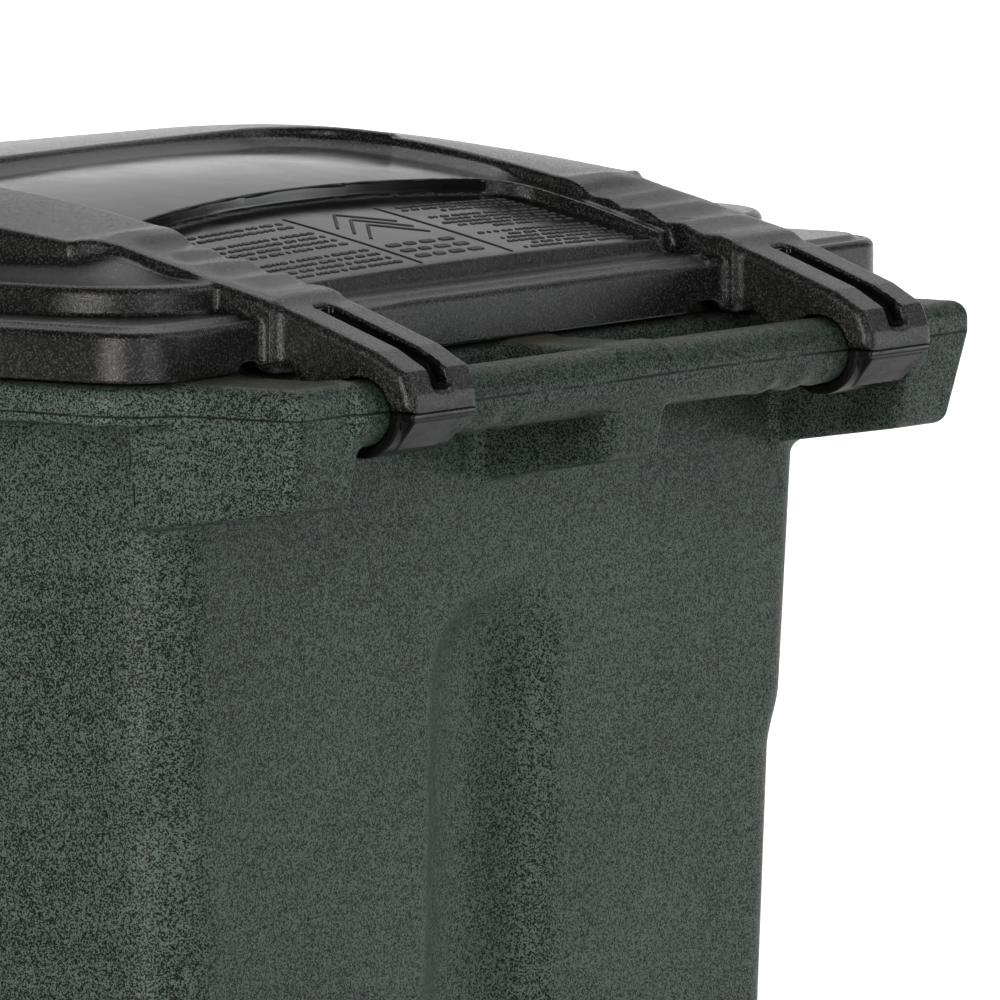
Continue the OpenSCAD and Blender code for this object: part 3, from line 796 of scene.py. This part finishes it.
def panel_marks():
    """Generic raised pattern on the sunk panel: rows of plain dashes, two divider lines and nested chevrons."""
    rng = np.random.default_rng(7)
    V, F = [], []

    def pad(pts, h=0.4, inset=0.25):
        """A closed low pad over a convex outline given counter-clockwise in (x, y)."""
        c = np.mean(pts, axis=0)
        n, b0 = len(pts), len(V)
        for z0, k in ((-0.35, 0.0), (h * 0.6, 0.0), (h, inset)):
            for px, py in pts:
                d = np.array([px, py]) - c
                q = c + d * (1 - k / max(np.hypot(*d), 0.6))
                V.append((q[0] * 0.001, q[1] * 0.001, (float(sunk(abs(q[0]), q[1])) + z0) * 0.001))
        for r in (0, 1):
            for i in range(n):
                j = (i + 1) % n
                F.append((b0 + r * n + i, b0 + r * n + j, b0 + (r + 1) * n + j, b0 + (r + 1) * n + i))
        F.append(tuple(b0 + 2 * n + i for i in range(n)))
        F.append(tuple(b0 + i for i in reversed(range(n))))

    def dash(x0, x1, y0, w):
        r = min(w, x1 - x0) * 0.3
        pad([(x0 + r, y0), (x1 - r, y0), (x1, y0 + r), (x1, y0 + w - r), (x1 - r, y0 + w), (x0 + r, y0 + w), (x0, y0 + w - r), (x0, y0 + r)])

    def line(ax, ay, bx, by, w, parts=10):
        L = math.hypot(bx - ax, by - ay)
        nx, ny = -(by - ay) / L * w / 2, (bx - ax) / L * w / 2
        for i in range(parts):
            t0, t1 = i / parts, (i + 1.0) / parts
            p, q = (ax + (bx - ax) * t0, ay + (by - ay) * t0), (ax + (bx - ax) * t1, ay + (by - ay) * t1)
            pad([(p[0] - nx, p[1] - ny), (q[0] - nx, q[1] - ny), (q[0] + nx, q[1] + ny), (p[0] + nx, p[1] + ny)], 0.4, 0.12)

    for lo, hi, y0, y1, pitch, w, gaps in ((46, 144, 217, 284, 6.1, 2.5, (3, 8)), (-141, -47, 215, 284, 4.7, 2.1, (4, 10))):
        y, row = y0, 0
        while y < y1:
            row += 1
            if row in gaps:
                y += pitch * 0.8
                continue
            x, end = lo, hi - (rng.random() * 30 if row % 3 == 0 else rng.random() * 6)
            while x < end - 3:
                L = float(rng.choice([2.2, 3.4, 4.6, 6.0]))
                dash(x, min(x + L, hi), y, w)
                x += L + (1.1 if rng.random() < 0.7 else 3.2)
            y += pitch
    for x in (-37, 37):
        line(x, 213, x, 288, 1.1)
    for k in (0, 9, 18):
        line(-24, 234 + k, 0, 216 + k, 1.5, 5)
        line(0, 216 + k, 24, 234 + k, 1.5, 5)
    for y in (262, 270, 278):
        for x in (-25, -9.5, 6, 18):
            dash(x, x + (11 if x != 6 else 8.5), y, 3.4)
    me = bpy.data.meshes.new("panel_marks")
    me.from_pydata(V, [], F)
    me.update()
    ob = bpy.data.objects.new("panel_marks", me)
    bpy.context.scene.collection.objects.link(ob)
    put(ob, M_MARK)
    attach(ob, "lid")


panel_marks()

for side, sx in (("right", 1), ("left", -1)):
    c = field_mesh("clip_" + side, lambda x, y, z: clip(x, y, z), axis((0, 27.5, 0.8)), axis((354, 402, 0.8)), axis((952, 980, 0.8)), 40000, 3)
    c.data.transform(Matrix.Translation((sx * 0.188, 0, 0)))
    put(c, M_CLIP)
    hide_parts("hinge_clip_" + side)
    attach(c, "lid")



def mesh_piece(name, verts, faces, mat, body, slot, *nodes):
    me = bpy.data.meshes.new(name)
    me.from_pydata([tuple(v) for v in verts], [], faces)
    me.update()
    me.shade_smooth()
    ob = bpy.data.objects.new(name, me)
    bpy.context.scene.collection.objects.link(ob)
    put(ob, mat)
    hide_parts(*nodes)
    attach(ob, body)
    return ob


def tyre(side, sx):
    """Solid tyre with rounded shoulders, two circumferential grooves and shoulder lugs."""
    wx, wy, wz, n = 245.0, 235.0, 127.0, 360
    prof = [(108.02, -17.9), (110.2, -19.7), (112.6, -21.2), (114.4, -21.9), (116.2, -21.75), (117.0, -21.3), (118.0, -21.3), (118.8, -21.7),
            (120.6, -21.3), (122.4, -20.1), (123.9, -18.4), (125.1, -16.2), (125.9, -14.2), (126.3, -12.6)]
    prof += [(126.5, -11.6), (126.6, -9.9), (126.3, -9.5), (124.9, -9.0), (124.7, -8.0), (124.9, -7.0), (126.4, -6.5), (126.75, -6.0), (126.95, -3.0), (127.0, 0.0)]
    prof = prof + [(r, -x) for r, x in prof[-2::-1]]
    prof += [(108.02, x) for x in (12.0, 6.0, 0.0, -6.0, -12.0)]
    prof = np.array(prof)
    k = np.arange(n)
    ang = 2 * np.pi * k / n
    r, x = prof[:, 0], prof[:, 1]
    # lugs: every sixth step is a notch across each shoulder, staggered from side to side
    notch = ((k % 8) < 2)[:, None] * (x < 0)[None, :] + (((k + 4) % 8) < 2)[:, None] * (x > 0)[None, :]
    depth = 1.7 * np.clip((r - 122.0) / 2.0, 0, 1) * (np.abs(x) > 10.5)
    rr = r[None, :] - notch * depth[None, :]
    co = np.stack([np.broadcast_to(sx * (wx + x), rr.shape), wy + rr * np.cos(ang)[:, None], wz + rr * np.sin(ang)[:, None]], -1).reshape(-1, 3) * 0.001
    m = len(prof)
    F = []
    for i in range(n):
        i2 = (i + 1) % n
        for j in range(m):
            j2 = (j + 1) % m
            q = (i * m + j, i2 * m + j, i2 * m + j2, i * m + j2)
            F.append(q if sx > 0 else q[::-1])
    ob = mesh_piece("tyre_" + side + "_tread", co, F, M_TYRE, "wheel_" + side, "tyre_rubber", "tyre_" + side)
    ob.data.set_sharp_from_angle(angle=math.radians(38))


def spring(side, sx):
    """Compression spring with closed ends."""
    lx, y0, z0, top = 257.5, 235.0, 140.95, 150.85
    n, sides, turns, w = 170, 10, 4.6, 0.58
    t = np.linspace(0, 1, n + 1)
    a = 2 * np.pi * turns * t
    # flat first and last turn, open coils between
    e = 0.8 / turns
    rise = np.clip((t - e) / (1 - 2 * e), 0, 1)
    zc = z0 + w + (top - z0 - 2 * w) * (rise * 0.80 + 0.1 * np.clip(t / e, 0, 1) + 0.1 * np.clip((t - 1 + e) / e, 0, 1))
    b = 2 * np.pi * np.arange(sides) / sides
    taper = np.clip(np.minimum(np.arange(n + 1), np.arange(n + 1)[::-1]) / 2.0, 0.35, 1.0)
    r = 3.9 + w * taper[:, None] * np.cos(b)[None, :]
    co = np.stack([sx * (lx + r * np.cos(a)[:, None]), y0 + r * np.sin(a)[:, None], zc[:, None] + w * taper[:, None] * np.sin(b)[None, :]], -1).reshape(-1, 3) * 0.001
    F = []
    for i in range(n):
        for j in range(sides):
            q = (i * sides + j, (i + 1) * sides + j, (i + 1) * sides + (j + 1) % sides, i * sides + (j + 1) % sides)
            F.append(q[::-1] if sx < 0 else q)
    lo, hi = tuple(range(sides)), tuple(n * sides + j for j in reversed(range(sides)))
    F += [lo, hi] if sx > 0 else [lo[::-1], hi[::-1]]
    ob = mesh_piece("spring_" + side, co, F, M_STEEL, "wheel_" + side, "steel", "latch_spring_" + side)
    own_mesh(ob)


for side, sx in (("right", 1), ("left", -1)):
    tyre(side, sx)
    spring(side, sx)

LOOKS = {
    "axle": M_STEEL, "axle_spacer": M_BLACK, "wheel": M_BLACK, "tyre": M_TYRE, "wheel_bush": M_BUSH,
    "latch_pin": M_STEEL, "latch_spring": M_STEEL, "hub_cap": M_BLACK, "stop_bar": M_ZINC, "stop_bar_plug": M_BLACK,
}
for n, ob in N.items():
    k = n.replace("_left", "").replace("_right", "")
    if k in LOOKS:
        put(ob, LOOKS[k])

# ------------------------------------------------------------------ studio
def floor_mat():
    m, nt, b = new_mat("floor_pale")
    g = G(nt)
    c = g.mix(g.ramp(g.noise(0.6, 3, 0.5), 0.3, 0.7), (0.86, 0.86, 0.86), (0.83, 0.83, 0.83))
    g._in(b.inputs["Base Color"], c)
    b.inputs["Roughness"].default_value = 0.75
    g._in(b.inputs["Normal"], g.bump(g.noise(60, 3, 0.5), 0.03, 0.001))
    return m


me = bpy.data.meshes.new("floor")
s = 120.0
me.from_pydata([(-s, -s, 0), (s, -s, 0), (s, s, 0), (-s, s, 0)], [], [(0, 1, 2, 3)])
floor = bpy.data.objects.new("floor", me)
bpy.context.scene.collection.objects.link(floor)
put(floor, floor_mat())
floor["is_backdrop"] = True

w = bpy.data.worlds.new("studio")
bpy.context.scene.world = w
w.use_nodes = True
w.node_tree.nodes["Background"].inputs[0].default_value = (1, 1, 1, 1)
w.node_tree.nodes["Background"].inputs[1].default_value = 0.1
# the sky lights softly, but behind the object it looks as pale as the floor
wn = w.node_tree
pale = wn.nodes.new("ShaderNodeBackground")
pale.inputs[0].default_value = (1, 1, 1, 1)
pale.inputs[1].default_value = 0.82
seen = wn.nodes.new("ShaderNodeLightPath")
both = wn.nodes.new("ShaderNodeMixShader")
wn.links.new(seen.outputs["Is Camera Ray"], both.inputs[0])
wn.links.new(wn.nodes["Background"].outputs[0], both.inputs[1])
wn.links.new(pale.outputs[0], both.inputs[2])
wn.links.new(both.outputs[0], wn.nodes["World Output"].inputs[0])


def area(name, loc, target, size, radiance, col=(1, 1, 1)):
    d = bpy.data.lights.new(name, "AREA")
    d.shape = "RECTANGLE"
    d.size, d.size_y = size
    d.energy = radiance * math.pi * size[0] * size[1]
    d.color = col
    o = bpy.data.objects.new(name, d)
    bpy.context.scene.collection.objects.link(o)
    o.location = loc
    o.rotation_mode = "QUATERNION"
    o.rotation_quaternion = (Vector(target) - Vector(loc)).to_track_quat("-Z", "Y")
    return o


back = area("backdrop", (-13.6, -8.9, 9.5), (-13.6, -8.9, 0), (21, 21), 1.75)
back.data.spread = math.radians(100)
area("horizon", (-19.5, -12.8, 2.6), (0, 0, 1.2), (26, 5.2), 0.92)
area("upper", (-19.2, -12.6, 7.6), (0, 0, 1.0), (26, 5.0), 0.6)
area("sky", (-11.4, -7.5, 9.6), (0, 0, 1.0), (20, 5.4), 0.45)
area("side", (6.0, 0.9, 1.5), (0, 0, 1.1), (0.7, 2.8), 28.0, (1.0, 0.97, 0.915))
area("spark", (2.0, 5.9, 1.5), (0, 0, 1.1), (0.4, 2.6), 20.0, (0.95, 0.98, 1.0))
area("key", (-4.95, 3.3, 1.05), (0, 0, 1.0), (1.3, 1.7), 3.4, (0.96, 0.985, 1.0))
area("over", (-3.2, 4.6, 4.4), (0, 0, 0.9), (1.3, 1.3), 8.0, (0.97, 0.99, 1.0))

cd = bpy.data.cameras.new("camera")
cam = bpy.data.objects.new("camera", cd)
bpy.context.scene.collection.objects.link(cam)
cd.sensor_width = 36
cd.lens = 858.6
cd.clip_start, cd.clip_end = 0.5, 500
cam.location = (8.923, 6.148, 1.932)
cam.rotation_mode = "QUATERNION"
cam.rotation_quaternion = (-Vector((0.8328, 0.5453, 0.0948))).to_track_quat("-Z", "Y")
bpy.context.scene.camera = cam
bpy.context.scene.view_settings.view_transform = "Standard"

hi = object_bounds()
print("cad", [round(v, 4) for p in CAD_BOX for v in p], "visual", [round(v, 4) for p in hi for v in p], f"{time.perf_counter() - T0:.1f} s")
